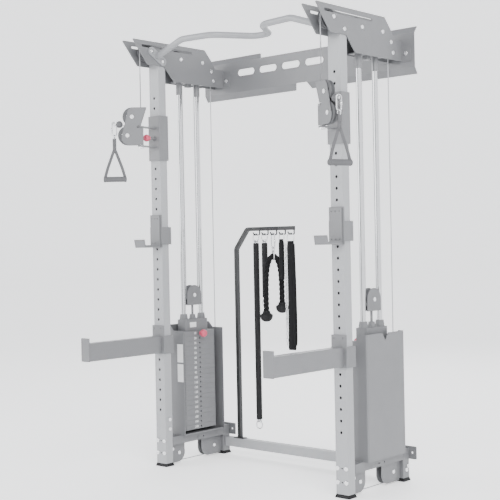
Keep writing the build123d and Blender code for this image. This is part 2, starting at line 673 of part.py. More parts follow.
def swing_place(side):
    """The housing's own frame: local X points away from the swivel axis."""
    return Pos(side * UPRIGHT_X, SWIVEL_Y, 0) * Rot(0, 0, -90 + side * SWIVEL_DEG[side])


def cheek_outline():
    points = [
        (-28, 1808), (60, 1808), (107, 1620.5), (-10, 1620.5), (-10, 1705), (18, 1705),
        (18, 1716), (3, 1716),
    ]
    face = make_face(Plane.XZ * Polyline(*points, close=True))
    face = fillet([v for v in face.vertices() if v.X > 50 and v.Z > 1800], 30)
    return fillet([v for v in face.vertices() if v.X > 95 and v.Z < 1630], 36)


def swivel_housing(side):
    """Two cheeks on a hollow pivot tube; the cable enters down the pivot axis."""
    outline = cheek_outline()
    body = rod((0, 0, ARM_Z[0] - 5), (0, 0, 1), PIVOT_R, ARM_Z[1] + ARM_T - ARM_Z[0] + 8)
    body += rod((0, 0, ARM_Z[0] - 9), (0, 0, 1), 13, 8.7)
    body += block(-9, 14, -CHEEK_GAP, CHEEK_GAP, 1621, 1704)
    for y0 in (-CHEEK_GAP - 3, CHEEK_GAP):
        body += Pos(0, y0, 0) * extrude(outline, amount=3, dir=(0, 1, 0))
    body -= rod((0, 0, ARM_Z[0] - 20), (0, 0, 1), 4, 300)
    for u, z in (UPPER_WHEEL, LOWER_WHEEL):
        body += rod((u, -CHEEK_GAP - 6, z), (0, 1, 0), AXLE_R, 2 * CHEEK_GAP + 12)
        for y0 in (-CHEEK_GAP - 6, CHEEK_GAP + 3):
            body += rod((u, y0, z), (0, 1, 0), HEAD_R, 3)
    u0, z0 = UPPER_WHEEL
    turn = [Vector(u0 + GROOVE_R * cos(a), 0, z0 + GROOVE_R * sin(a)) for a in (pi, 1.25 * pi, 1.5 * pi)]
    bend = ThreePointArc(*turn)
    out = Line(bend @ 1, Vector(HANDLE_U - BALL_R - 0.5, 0, z0 - GROOVE_R))
    return swing_place(side) * group([body, cable_along([bend, out])])


def housing_wheel(spot, side):
    u, z = spot
    turned = Plane(origin=(u, 0, z), z_dir=(0, 1, 0)) * wheel(GROOVE_R, WHEEL_W, AXLE_R + 0.08)
    return swing_place(side) * turned


def handle_place(side):
    """Frame of a hanging handle: origin at the stop ball, local X along the grip."""
    turn = 0 if side < 0 else 90
    return swing_place(side) * Pos(HANDLE_U + 26, 0, HANDLE_Z) * Rot(0, 0, turn)


def handle_clip(side):
    """Stop ball, eye, snap link and ring."""
    ball = swing_place(side) * Pos(HANDLE_U, 0, HANDLE_Z) * Sphere(BALL_R)
    eye = swing_place(side) * rod((HANDLE_U + BALL_R, 0, HANDLE_Z), (1, 0, 0), 4, 8)
    link = Plane.XZ.offset(-3) * Pos(0, -20) * (Rot(0, 0, 90) * (SlotOverall(66, 26) - SlotOverall(53, 13)))
    snap = extrude(link, amount=6)
    ring = Plane.YZ * Pos(0, -62) * (Circle(12) - Circle(8))
    loop = Pos(-2, 0, 0) * extrude(ring, amount=4)
    return group([ball, eye, handle_place(side) * snap, handle_place(side) * loop])


def handle_strap(side):
    """Webbing that runs from the ring, splits in two and holds the grip."""
    stem = block(-8, 8, -3, 3, -128, -75)
    web = make_face(Plane.XZ * Polyline(
        (-8, -122), (8, -122), (GRIP_HALF + 4, -259), (GRIP_HALF + 4, -275), (GRIP_HALF - 8, -275),
        (GRIP_HALF - 8, -259), (0, -140), (8 - GRIP_HALF, -259), (8 - GRIP_HALF, -275),
        (-GRIP_HALF - 4, -275), (-GRIP_HALF - 4, -259), close=True,
    ))
    legs = extrude(web, amount=3, both=True)
    grip_hole = rod((-GRIP_HALF - 10, 0, -273), (1, 0, 0), GRIP_R, 2 * GRIP_HALF + 20)
    return handle_place(side) * (stem + legs - grip_hole)


def handle_grip(side):
    tube = rod((-GRIP_HALF, 0, -273), (1, 0, 0), GRIP_R, 2 * GRIP_HALF)
    tube = fillet(tube.edges().filter_by(GeomType.CIRCLE), 3)
    return handle_place(side) * tube


# ---------------------------------------------------------------- rack fittings
def saddle(z0, z1, wing_z0, wing_z1):
    """Front plate with two wings that hug the sides of the upright."""
    front = FRONT_Y - FIT_GAP
    body = block(X_IN - 5, X_OUT + 5, front - SADDLE_T, front, z0, z1)
    wing_in = block(X_IN - 7, X_IN - FIT_GAP, front - SADDLE_T, BACK_Y + 10, wing_z0, wing_z1)
    wing_out = block(X_OUT + FIT_GAP, X_OUT + 7, front - SADDLE_T, BACK_Y + 10, wing_z0, wing_z1)
    return body + wing_in + wing_out


def peg(hole):
    z = HOLE_Z0 + hole * HOLE_PITCH
    return rod((UPRIGHT_X, FRONT_Y - FIT_GAP - 1, z), (0, 1, 0), HOLE_R - 0.4, 16)


def j_hook():
    """Saddle with a peg, a shelf, an upturned lip and a screwed-on liner."""
    body = saddle(J_Z0, J_Z1, 1122, 1210) + peg(J_HOLE)
    front = FRONT_Y - FIT_GAP - SADDLE_T
    lip_y = front - J_REACH
    body += block(X_IN, X_OUT, lip_y, front, J_Z0, J_Z0 + 8)
    lip = [(lip_y, J_Z0), (lip_y + 8, J_Z0), (lip_y, J_Z0 + 41), (lip_y - 8, J_Z0 + 41)]
    body += yz_plate(lip, X_IN, X_OUT)
    liner = block(X_IN + 2, X_OUT - 2, front - 6, front, J_Z0 + 8, J_Z1 - 4)
    liner += block(X_IN + 2, X_OUT - 2, lip_y + 8, front, J_Z0 + 8, J_Z0 + 13)
    for z in (J_Z0 + 22, J_Z1 - 20):
        for dx in (-22, 0, 22):
            liner -= rod((UPRIGHT_X + dx, front - 7, z), (0, 1, 0), 3.5, 4)
    return group([body, liner])


def spotter_arm():
    """Saddle with a peg and a long tube arm that ends in an upturned plate."""
    body = saddle(ARM_Z0 - 4, ARM_Z1 + 53, ARM_Z0 - 4, ARM_Z1) + peg(ARM_HOLE)
    front = FRONT_Y - FIT_GAP - SADDLE_T
    arm = block(UPRIGHT_X - 25, UPRIGHT_X + 25, ARM_END_Y, front, ARM_Z0, ARM_Z1)
    arm = fillet(arm.edges().filter_by(Axis.Y), 4)
    arm -= block(UPRIGHT_X - 22, UPRIGHT_X + 22, ARM_END_Y - 1, front, ARM_Z0 + 3, ARM_Z1 - 3)
    end = block(UPRIGHT_X - 27, UPRIGHT_X + 29, ARM_END_Y - 6, ARM_END_Y, ARM_Z0 - 1, ARM_Z1 + 25)
    body += arm + fillet(end.edges().filter_by(Axis.Y), 4)
    for dx in (-24, 24):
        body -= rod((UPRIGHT_X + dx, front - 1, ARM_Z1 + 38), (0, 1, 0), 4.5, 3)
    return body


# ---------------------------------------------------------------- accessory rack
def hook_x(k):
    return HOOK_X0 + HOOK_PITCH * k


def accessory_rack():
    """A cranked post on the crossbar whose top bar carries five prongs."""
    corner_x = RACK_X + 80
    points = [(RACK_X, RACK_Y, BAR_Z1 + 4), (RACK_X, RACK_Y, 1090), (corner_x, RACK_Y, RACK_BAR_Z)]
    points.append((RACK_END_X, RACK_Y, RACK_BAR_Z))
    path = FilletPolyline(*points, radius=24)
    body = sweep(Plane.XY.offset(BAR_Z1 + 4) * Pos(RACK_X, RACK_Y) * Rectangle(RACK_TUBE, RACK_TUBE), path=path)
    foot = block(RACK_X - 32, RACK_X + 32, BAR_Y0, BAR_Y1, BAR_Z1, BAR_Z1 + 4)
    parts = [body + foot]
    under = RACK_BAR_Z - RACK_TUBE / 2
    for k in range(HOOK_COUNT):
        x = hook_x(k)
        prong = FilletPolyline(
            (x, RACK_Y, under), (x, RACK_Y, HOOK_Z), (x, HANG_Y - 12, HOOK_Z), (x, HANG_Y - 20, HOOK_Z + 12),
            radius=5,
        )
        parts.append(sweep(Plane.XY.offset(under) * Pos(x, RACK_Y) * Circle(HOOK_R), path=prong))
    return group(parts)


def hang_ring(x, z_top, radius=RING_R):
    """A round wire ring that hangs over a prong, in the XZ plane."""
    place = Plane(origin=(x, HANG_Y, z_top - radius), z_dir=(0, 1, 0))
    return place * Torus(radius, RING_WIRE)


def bar_with_rings(x, z0):
    """A padded straight bar with a swivel block and a ring on each end."""
    bar = rod((x, HANG_Y, z0), (0, 0, 1), GRIP_BAR_R, GRIP_BAR_TOP - z0)
    bar = fillet(bar.edges().filter_by(GeomType.CIRCLE), 2)
    parts = [bar]
    low_ring = z0 - (RING_TOP_Z - GRIP_BAR_TOP)
    for face, ring_top, out in ((GRIP_BAR_TOP, RING_TOP_Z, 1), (z0, low_ring + 2 * RING_R, -1)):
        start = (x, HANG_Y, face)
        parts.append(rod(start, (0, 0, out), 8, 3.2))
        parts.append(hang_ring(x, ring_top))
    return group(parts)


def rope_points():
    """Centre line of the double rope from one stopper over its link to the other."""
    x = hook_x(2)
    dx, dy = ROPE_SPREAD
    side = [
        (1.00, 800), (1.02, 850), (0.98, 930), (0.86, 990), (0.60, 1029), (0.22, ROPE_TOP_Z),
    ]
    left = [(x - dx * f, HANG_Y - dy * f, z) for f, z in side]
    right = [(x + dx * f, HANG_Y + dy * f, z) for f, z in reversed(side)]
    left[0] = (*left[0][:2], ROPE_END_Z[0])
    right[-1] = (*right[-1][:2], ROPE_END_Z[1])
    return left + right


def tangent_radius(a, b, c):
    """The arc radius that a corner's two runs allow."""
    first = Vector(*b) - Vector(*a)
    second = Vector(*c) - Vector(*b)
    turn = radians(first.get_angle(second))
    return 0.45 * min(first.length, second.length) / (sin(turn / 2) / cos(turn / 2))


def rope_cord():
    points = rope_points()
    radii = [tangent_radius(*points[k:k + 3]) for k in range(len(points) - 2)]
    print("rope radii", [round(r) for r in radii])
    path = FilletPolyline(*points, radius=radii)
    start = Plane(origin=path @ 0, z_dir=path % 0)
    cord = sweep(start * Circle(ROPE_R), path=path)
    print("rope length", round(path.length), "volume ratio", round(cord.volume / (pi * ROPE_R**2 * path.length), 4))
    return cord


def rope_ends():
    """Moulded stoppers with a short collar, one on each end of the rope."""
    outline = Polyline(
        (0, 4), (0, -50), (14, -49), (26, -40), (33, -24), (33, -14), (27, -9), (20, -6), (19, 0),
        (19, 4), close=True,
    )
    stopper = revolve(make_face(Plane.XZ * outline), Axis.Z)
    stopper -= rod((0, 0, -0.8), (0, 0, 1), ROPE_R + 0.3, 10)
    points = rope_points()
    return group([Pos(*points[0]) * stopper, Pos(*points[-1]) * stopper])


def rope_clip():
    """Snap link, swivel link and the ring that the rope passes through."""
    x = hook_x(2)
    snap_z = HOOK_Z + HOOK_R + 6.4
    snap_face = Rot(0, 0, 90) * (SlotOverall(CLIP_LENGTH, 26) - SlotOverall(CLIP_LENGTH - 12, 14))
    snap = extrude(Plane.XZ * snap_face, amount=2.5, both=True)
    snap = Pos(x, HANG_Y, snap_z - CLIP_LENGTH / 2) * snap
    link_z = snap_z - CLIP_LENGTH + 9.4 - 12.5
    link = Plane(origin=(x, HANG_Y, link_z), z_dir=(1, 0, 0)) * Torus(12.5, 3)
    ring_z = link_z - 12.5 + 6.4 - ROPE_RING_R
    along = (ROPE_SPREAD[0], ROPE_SPREAD[1], 0)
    ring = Plane(origin=(x, HANG_Y, ring_z), z_dir=along) * Torus(ROPE_RING_R, 3)
    print("rope rests at", ring_z - ROPE_RING_R + 3 + ROPE_R)
    return group([snap, link, ring])


def ankle_strap():
    x = hook_x(3)
    ring = hang_ring(x, RING_TOP_Z, 17)
    strap = block(x - 16, x + 14, HANG_Y - 8, HANG_Y + 8, 930, 1127)
    return group([ring, fillet(strap.edges().filter_by(Axis.Z), 6)])


def belt():
    x = hook_x(4)
    ring = hang_ring(x, RING_TOP_Z, 22)
    strap = block(x - 22, x + 30, HANG_Y - 9, HANG_Y + 9, 578, 1117)
    return group([ring, fillet(strap.edges().filter_by(Axis.Z), 6)])


def chain():
    x = hook_x(4) - 33
    return block(x - 9, x + 9, HANG_Y - 7, HANG_Y + 7, 596, 1120)


# ---------------------------------------------------------------- build
def save(name, shape):
    export_step(shape, f"parts/{name}.step")


def save_pair(name, shape):
    save(f"{name}_right", shape)
    save(f"{name}_left", mirrored(shape))


def main():
    os.makedirs("parts", exist_ok=True)
    pairs = {
        "upright": upright(),
        "top_plate_outer": top_plate(X_OUT),
        "top_plate_inner": top_plate(X_PLATE_IN),
        "shroud": shroud(),
        "cables": side_cables(),
        "cable_stack": stack_cable(),
        "carriage": carriage(),
        "pop_pin": pop_pin(),
        "lift_head": lift_head(),
        "floating_pulley": wheel_at(BLOCK_PULLEY, GROOVE_R),
        "selector_pin": selector_pin(),
        "j_hook": j_hook(),
        "spotter_arm": spotter_arm(),
    }
    for name, shape in pairs.items():
        save_pair(name, shape)
    for side, word in ((1, "right"), (-1, "left")):
        save(f"swivel_housing_{word}", swivel_housing(side))
        save(f"upper_pulley_{word}", housing_wheel(UPPER_WHEEL, side))
        save(f"lower_pulley_{word}", housing_wheel(LOWER_WHEEL, side))
        save(f"handle_clip_{word}", handle_clip(side))
        save(f"handle_strap_{word}", handle_strap(side))
        save(f"handle_grip_{word}", handle_grip(side))
    singles = {
        "foot_pads": foot_pads(),
        "crossmember": crossmember(),
        "crossmember_brackets": crossmember_brackets(),
        "pull_up_bar": pull_up_bar(),
        "base_beams": both_sides([base_beam()]),
        "rear_posts": both_sides([rear_post()]),
        "base_crossbar": base_crossbar(),
        "guide_rods": guide_rods(),
        "weight_plates": weight_plates(),
        "stack_bumpers": stack_bumpers(),
        "base_pulley_brackets": base_brackets(),
        "guide_pulleys": guide_pulleys(),
        "frame_bolts": frame_bolts(),
        "accessory_rack": accessory_rack(),
        "long_bar": bar_with_rings(hook_x(0), LONG_BAR_Z0),
        "short_bar": bar_with_rings(hook_x(1), SHORT_BAR_Z0),
        "rope_cord": rope_cord(),
        "rope_ends": rope_ends(),
        "rope_clip": rope_clip(),
        "ankle_strap": ankle_strap(),
        "belt": belt(),
        "chain": chain(),
    }
    for name, shape in singles.items():
        save(name, shape)


main()
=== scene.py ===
import bpy
import bmesh
import json
from math import atan2, cos, pi, radians, sin
from mathutils import Matrix, Vector


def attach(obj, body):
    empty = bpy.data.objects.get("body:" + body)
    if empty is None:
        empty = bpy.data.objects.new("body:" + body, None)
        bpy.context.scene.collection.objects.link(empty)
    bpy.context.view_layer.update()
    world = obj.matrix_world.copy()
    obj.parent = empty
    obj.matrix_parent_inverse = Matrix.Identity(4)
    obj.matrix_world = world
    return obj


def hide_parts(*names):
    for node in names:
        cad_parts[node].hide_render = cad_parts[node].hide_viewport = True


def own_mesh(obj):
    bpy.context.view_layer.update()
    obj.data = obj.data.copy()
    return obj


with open("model.json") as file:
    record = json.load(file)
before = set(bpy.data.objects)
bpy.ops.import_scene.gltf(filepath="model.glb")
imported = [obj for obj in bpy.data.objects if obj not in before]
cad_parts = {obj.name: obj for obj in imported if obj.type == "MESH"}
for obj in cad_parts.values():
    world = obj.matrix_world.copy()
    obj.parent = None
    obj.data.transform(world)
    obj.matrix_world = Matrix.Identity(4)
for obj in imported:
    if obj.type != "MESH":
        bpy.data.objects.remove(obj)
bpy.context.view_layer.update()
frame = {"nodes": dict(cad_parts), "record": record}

SIDES = {"right": 1, "left": -1}
UPRIGHT_X = 0.570
STACK_Y = 0.218
STACK_W = 0.100
SWIVEL_Y = -0.118
SWIVEL_DEG = {1: 70, -1: 47}
GROOVE_R = 0.043
CABLE_R = 0.0024
PLATE_PITCH = 0.0254
PLATE_COUNT = 19
STACK_Z0 = 0.164
HANG_Y = 0.402
HOOK_X0, HOOK_PITCH, HOOK_Z = -0.279, 0.058, 1.162


# ---------------------------------------------------------------- materials
class Nodes:
    """A material's node tree with short calls for adding and linking."""

    def __init__(self, name):
        self.material = bpy.data.materials.new(name)
        self.material.use_nodes = True
        self.tree = self.material.node_tree
        self.shader = self.tree.nodes["Principled BSDF"]
        self.coord = self.tree.nodes.new("ShaderNodeTexCoord").outputs["Object"]

    def add(self, kind, inputs=(), **settings):
        node = self.tree.nodes.new(kind)
        for key, value in settings.items():
            setattr(node, key, value)
        for key, value in dict(inputs).items():
            self.put(node.inputs[key], value)
        return node

    def put(self, socket, value):
        if isinstance(value, bpy.types.NodeSocket):
            self.tree.links.new(value, socket)
        else:
            socket.default_value = value

    def noise(self, scale, detail=3):
        inputs = {"Vector": self.coord, "Scale": scale, "Detail": detail}
        return self.add("ShaderNodeTexNoise", inputs).outputs["Fac"]

    def ramp(self, value, low, high):
        return self.add(
            "ShaderNodeMapRange",
            {"Value": value, "From Min": 0.3, "From Max": 0.7, "To Min": low, "To Max": high},
        ).outputs["Result"]

    def mix(self, fac, a, b):
        node = self.add("ShaderNodeMix", data_type="RGBA")
        self.put(node.inputs["Factor"], fac)
        self.put(node.inputs["A"], a)
        self.put(node.inputs["B"], b)
        return node.outputs["Result"]

    def bump(self, height, strength, distance):
        node = self.add("ShaderNodeBump", {"Height": height, "Strength": strength, "Distance": distance})
        self.put(self.shader.inputs["Normal"], node.outputs["Normal"])

    def base(self, colour, roughness, metallic=0.0):
        self.put(self.shader.inputs["Base Color"], colour)
        self.put(self.shader.inputs["Roughness"], roughness)
        self.put(self.shader.inputs["Metallic"], metallic)


def shade(colour, factor):
    return tuple(min(1, c * factor) for c in colour[:3]) + (1,)


def powder_coat(name, colour, roughness=0.42, grain=0.25):
    """Baked paint with a fine orange-peel surface and slight wear in its gloss."""
    n = Nodes(name)
    cloud = n.noise(3.5)
    gloss = n.ramp(n.noise(18), roughness - 0.05, roughness + 0.06)
    n.base(n.mix(cloud, shade(colour, 0.95), shade(colour, 1.05)), gloss)
    n.bump(n.noise(900, 2), grain, 0.0004)
    n.put(n.shader.inputs["Coat Weight"], 0.12)
    return n.material


def polished(name, colour, roughness=0.12):
    """Plated steel with faint rubbing marks."""
    n = Nodes(name)
    n.base(colour, n.ramp(n.noise(60, 5), roughness * 0.7, roughness * 1.5), 1.0)
    n.bump(n.noise(220, 2), 0.03, 0.0003)
    return n.material


def moulded(name, colour, roughness=0.5, grain=0.3, scale=700):
    """Plastic or rubber with a fine grain."""
    n = Nodes(name)
    gloss = n.ramp(n.noise(30), roughness - 0.08, roughness + 0.08)
    n.base(n.mix(n.noise(9), shade(colour, 0.85), shade(colour, 1.2)), gloss)
    n.bump(n.noise(scale, 3), grain, 0.0005)
    n.put(n.shader.inputs["Specular IOR Level"], 0.25)
    return n.material


def cast(name, colour):
    """Cast iron under thin paint."""
    n = Nodes(name)
    gloss = n.ramp(n.noise(25), 0.42, 0.6)
    n.base(n.mix(n.noise(6), shade(colour, 0.93), shade(colour, 1.06)), gloss, 0.15)
    n.bump(n.noise(420, 5), 0.35, 0.0006)
    return n.material


def webbing(name, colour, sheen):
    """Woven strap: crossed fine waves."""
    n = Nodes(name)
    waves = [{"Vector": n.coord, "Scale": scale, "Distortion": 0.4} for scale in (160.0, 130.0)]
    up = n.add("ShaderNodeTexWave", waves[0], bands_direction="Z")
    across = n.add("ShaderNodeTexWave", waves[1], bands_direction="DIAGONAL")
    weave = n.mix(0.5, up.outputs["Color"], across.outputs["Color"])
    n.base(n.mix(weave, shade(colour, 0.6), shade(colour, 1.35)), 0.85)
    n.bump(weave, 0.5, 0.0006)
    n.put(n.shader.inputs["Sheen Weight"], sheen)
    n.put(n.shader.inputs["Specular IOR Level"], 0.15)
    return n.material


MATERIALS = {
    "light_paint": powder_coat("light_paint", (0.30, 0.305, 0.315, 1)),
    "grey_paint": powder_coat("grey_paint", (0.145, 0.147, 0.153, 1)),
    "pale_paint": powder_coat("pale_paint", (0.32, 0.325, 0.335, 1)),
    "silver_paint": powder_coat("silver_paint", (0.25, 0.255, 0.265, 1), 0.36, 0.12),
    "dark_paint": powder_coat("dark_paint", (0.014, 0.0145, 0.016, 1), 0.55, 0.2),
    "chrome": polished("chrome", (0.60, 0.605, 0.615, 1)),
    "steel": polished("steel", (0.80, 0.80, 0.81, 1), 0.24),
    "iron": cast("iron", (0.15, 0.152, 0.158, 1)),
    "black_rubber": moulded("black_rubber", (0.009, 0.009, 0.010, 1), 0.66, 0.4),
    "black_plastic": moulded("black_plastic", (0.02, 0.02, 0.022, 1), 0.4, 0.2),
    "pink_plastic": moulded("pink_plastic", (0.50, 0.075, 0.125, 1), 0.33, 0.1),
    "faded_rubber": moulded("faded_rubber", (0.10, 0.10, 0.105, 1), 0.6, 0.3),
    "cable_jacket": moulded("cable_jacket", (0.34, 0.345, 0.355, 1), 0.5, 0.1),
    "grey_plastic": moulded("grey_plastic", (0.085, 0.086, 0.09, 1), 0.45, 0.2),
    "black_webbing": webbing("black_webbing", (0.008, 0.008, 0.009, 1), 0.04),
    "faded_webbing": webbing("faded_webbing", (0.115, 0.115, 0.12, 1), 0.1),
    "white_print": moulded("white_print", (0.72, 0.72, 0.72, 1), 0.55, 0.05),
}


LOOKS = {"base_crossbar": "pale_paint", "guide_pulleys": "grey_plastic"}
for word in SIDES:
    for wheel in ("upper", "lower", "floating"):
        LOOKS[f"{wheel}_pulley_{word}"] = "grey_plastic"


def second_look(name, material, chosen):
    """Give the polygons of a CAD node that pass the test another material."""
    mesh = frame["nodes"][name].data
    mesh.materials.append(MATERIALS[material])
    for polygon in mesh.polygons:
        if chosen(polygon.center):
            polygon.material_index = len(mesh.materials) - 1


def is_block_head(c):
    """Whether a point lies outside the cheeks of a floating pulley's block."""
    return abs(abs(c.x) - UPRIGHT_X) > 0.0178 and c.z > 0.82


def detail_looks():
    """Bright axle heads and pins, and painted sockets, within one CAD node each."""
    second_look("guide_rods", "grey_paint", lambda c: c.z > 1.8935)
    for word, sign in SIDES.items():
        axis = Vector((sign * UPRIGHT_X, SWIVEL_Y, 0))
        across = housing_axes(sign)[1]
        second_look(f"swivel_housing_{word}", "steel", lambda c: abs((c - axis).dot(across)) > 0.0152)
        second_look(f"swivel_housing_{word}", "steel", lambda c: c.z < 1.6195)
        second_look(f"pop_pin_{word}", "steel", lambda c: c.y > -0.0635)
        second_look(f"selector_pin_{word}", "steel", lambda c: abs(c.x) > UPRIGHT_X - 0.056)
        second_look(f"lift_head_{word}", "steel", is_block_head)


def paint_frame():
    """Every CAD node gets the procedural material of its record slot, and a small bevel."""
    slots = {s["node"]: s["material_slot"] for s in frame["record"]["subparts"]}
    for name, obj in frame["nodes"].items():
        obj.data.materials.clear()
        obj.data.materials.append(MATERIALS[LOOKS.get(name, slots[name])])
        bevel = obj.modifiers.new("edge", "BEVEL")
        bevel.width = 0.0007
        bevel.segments = 2
        bevel.limit_method = "ANGLE"
        bevel.angle_limit = radians(40)
        bevel.harden_normals = True


# ---------------------------------------------------------------- mesh helpers
def mesh_object(name, bm, material, smooth=True, look=None):
    mesh = bpy.data.meshes.new(name)
    bmesh.ops.recalc_face_normals(bm, faces=bm.faces)
    bm.to_mesh(mesh)
    bm.free()
    for polygon in mesh.polygons:
        polygon.use_smooth = smooth
    obj = bpy.data.objects.new(name, mesh)
    bpy.context.scene.collection.objects.link(obj)
    obj.data.materials.append(MATERIALS[look or material])
    return obj


def ring_of(bm, centre, x_axis, y_axis, section):
    """One cross-section's vertices, from (a, b) offsets along the two axes."""
    return [bm.verts.new(centre + x_axis * a + y_axis * b) for a, b in section]


def bridge(bm, first, second):
    count = len(first)
    for k in range(count):
        j = (k + 1) % count
        bm.faces.new((first[k], first[j], second[j], second[k]))


def frames_along(points, up=Vector((0, 1, 0))):
    """A direction and two cross axes at each point of a line, with little twist."""
    result = []
    last = up
    for k, point in enumerate(points):
        before = points[max(0, k - 1)]
        after = points[min(len(points) - 1, k + 1)]
        way = (after - before).normalized()
        x_axis = last - way * last.dot(way)
        if x_axis.length < 1e-4:
            x_axis = way.orthogonal()
        x_axis.normalize()
        last = x_axis
        result.append((point, x_axis, way.cross(x_axis)))
    return result


def tube_mesh(bm, points, section, up=Vector((0, 1, 0)), closed=False):
    """A section swept along points; the ends are capped unless it is closed."""
    rings = []
    for point, x_axis, y_axis in frames_along(points, up):
        rings.append(ring_of(bm, point, x_axis, y_axis, section))
    for first, second in zip(rings, rings[1:]):
        bridge(bm, first, second)
    if closed:
        bridge(bm, rings[-1], rings[0])
    else:
        bm.faces.new(rings[0])
        bm.faces.new(rings[-1])


def circle(radius, count=12):
    return [(radius * cos(2 * pi * k / count), radius * sin(2 * pi * k / count)) for k in range(count)]


def flat_section(width, thick, edge=0.3):
    """A flat strap's rounded-rectangle section; width lies along the first axis."""
    w, t = width / 2, thick / 2
    c = t * 2 * edge
    half = [(w, t - c), (w - c, t), (c - w, t), (-w, t - c)]
    return half + [(-a, -b) for a, b in half]


def oblong(centre, half_length, radius, long_axis, side_axis, count=14):
    """Closed centre line of a chain link or snap hook."""
    points = []
    for end in (1, -1):
        for k in range(count + 1):
            a = pi * k / count
            points.append(
                centre
                + long_axis * end * (half_length - radius + radius * sin(a))
                + side_axis * end * radius * cos(a)
            )
    return points


def closed_tube(bm, points, section, normal):
    """A section swept round a closed flat line with the given normal."""
    count = len(points)
    rings = []
    for k, point in enumerate(points):
        way = (points[(k + 1) % count] - points[k - 1]).normalized()
        rings.append(ring_of(bm, point, normal, way.cross(normal), section))
    for k in range(count):
        bridge(bm, rings[k - 1], rings[k])


def lathe(bm, start, axis, profile, count=32):
    """A turned shape from (radius, distance along the axis) points."""
    x_axis = axis.orthogonal().normalized()
    y_axis = axis.cross(x_axis)
    rings = [ring_of(bm, start + axis * z, x_axis, y_axis, circle(r, count)) for r, z in profile]
    for first, second in zip(rings, rings[1:]):
        bridge(bm, first, second)
    bm.faces.new(rings[0])
    bm.faces.new(rings[-1])


# ---------------------------------------------------------------- cables
def straight_run(name, x, y, z0, z1):
    bm = bmesh.new()
    steps = 60
    points = [Vector((x, y, z0 + (z1 - z0) * k / steps)) for k in range(steps + 1)]
    tube_mesh(bm, points, circle(CABLE_R), Vector((1, 0, 0)))
    return mesh_object(name, bm, "black_rubber", look="cable_jacket")


def arc(x, centre, radius, start, end, count=20):
    points = []
    for k in range(count + 1):
        a = radians(start + (end - start) * k / count)
        points.append(Vector((x, centre[0] + radius * cos(a), centre[1] + radius * sin(a))))
    return points


def cable_piece(name, points, body):
    bm = bmesh.new()
    tube_mesh(bm, points, circle(CABLE_R), Vector((1, 0, 0)))
    obj = mesh_object(name, bm, "black_rubber", look="cable_jacket")
    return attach(obj, body)


FRONT = (SWIVEL_Y + GROOVE_R, 2.088)
STACK = (STACK_Y - 2 * GROOVE_R, 2.070)
SMALL_R = 0.030
REAR_A = (STACK_Y + GROOVE_R + SMALL_R, 2.070)
REAR_B = (0.358, 2.031)
BASE_REAR = (REAR_B[0] + SMALL_R - GROOVE_R, 0.054)
BASE_FRONT = (0.085, 0.054)
BLOCK_Z = 0.856


def side_cables(side, sign):
    x = sign * UPRIGHT_X
    carriage = f"carriage_{side}"
    front_fall = 90 + atan2(STACK[1] - FRONT[1], STACK[0] - FRONT[0]) * 180 / pi
    rear_fall = 90 + atan2(REAR_B[1] - REAR_A[1], REAR_B[0] - REAR_A[0]) * 180 / pi
    over = arc(x, FRONT, GROOVE_R, 180, front_fall) + arc(x, STACK, GROOVE_R, front_fall, 0)
    top = cable_piece(f"cable_over_{side}", over, "frame")
    fixed = straight_run(f"cable_front_fixed_{side}", x, SWIVEL_Y, 1.761, FRONT[1])
    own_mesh(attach(fixed, "frame"))
    moving_end = FRONT[1] - 0.11
    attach(straight_run(f"cable_front_moving_{side}", x, SWIVEL_Y, 1.745, moving_end), carriage)
    back = arc(x, REAR_A, SMALL_R, 180, rear_fall) + arc(x, REAR_B, SMALL_R, rear_fall, 0)
    back += arc(x, BASE_REAR, GROOVE_R, 0, -90) + arc(x, BASE_FRONT, GROOVE_R, -90, -180)
    rear = cable_piece(f"cable_back_{side}", back, "frame")
    anchor_y = BASE_FRONT[0] - GROOVE_R
    low = straight_run(f"cable_low_{side}", x, anchor_y, BASE_FRONT[1], 1.562)
    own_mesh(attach(low, "frame"))
    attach(straight_run(f"cable_low_end_{side}", x, anchor_y, 1.562 - 0.21, 1.562), carriage)
    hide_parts(f"cables_{side}")
    return rear


def stack_cables(side, sign):
    x = sign * UPRIGHT_X
    for tag, y in (("a", STACK_Y - GROOVE_R), ("b", STACK_Y + GROOVE_R)):
        run = straight_run(f"cable_stack_{tag}_{side}", x, y, BLOCK_Z, 2.070)
        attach(run, "frame")
        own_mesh(run)
    cable_piece(f"cable_under_{side}", arc(x, (STACK_Y, BLOCK_Z), GROOVE_R, 180, 360), f"lift_head_{side}")
    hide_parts(f"cable_stack_{side}")


# ---------------------------------------------------------------- handles
def housing_axes(sign):
    """Directions along the housing and across it."""
    a = radians(-90 + sign * SWIVEL_DEG[sign])
    return Vector((cos(a), sin(a), 0)), Vector((-sin(a), cos(a), 0))


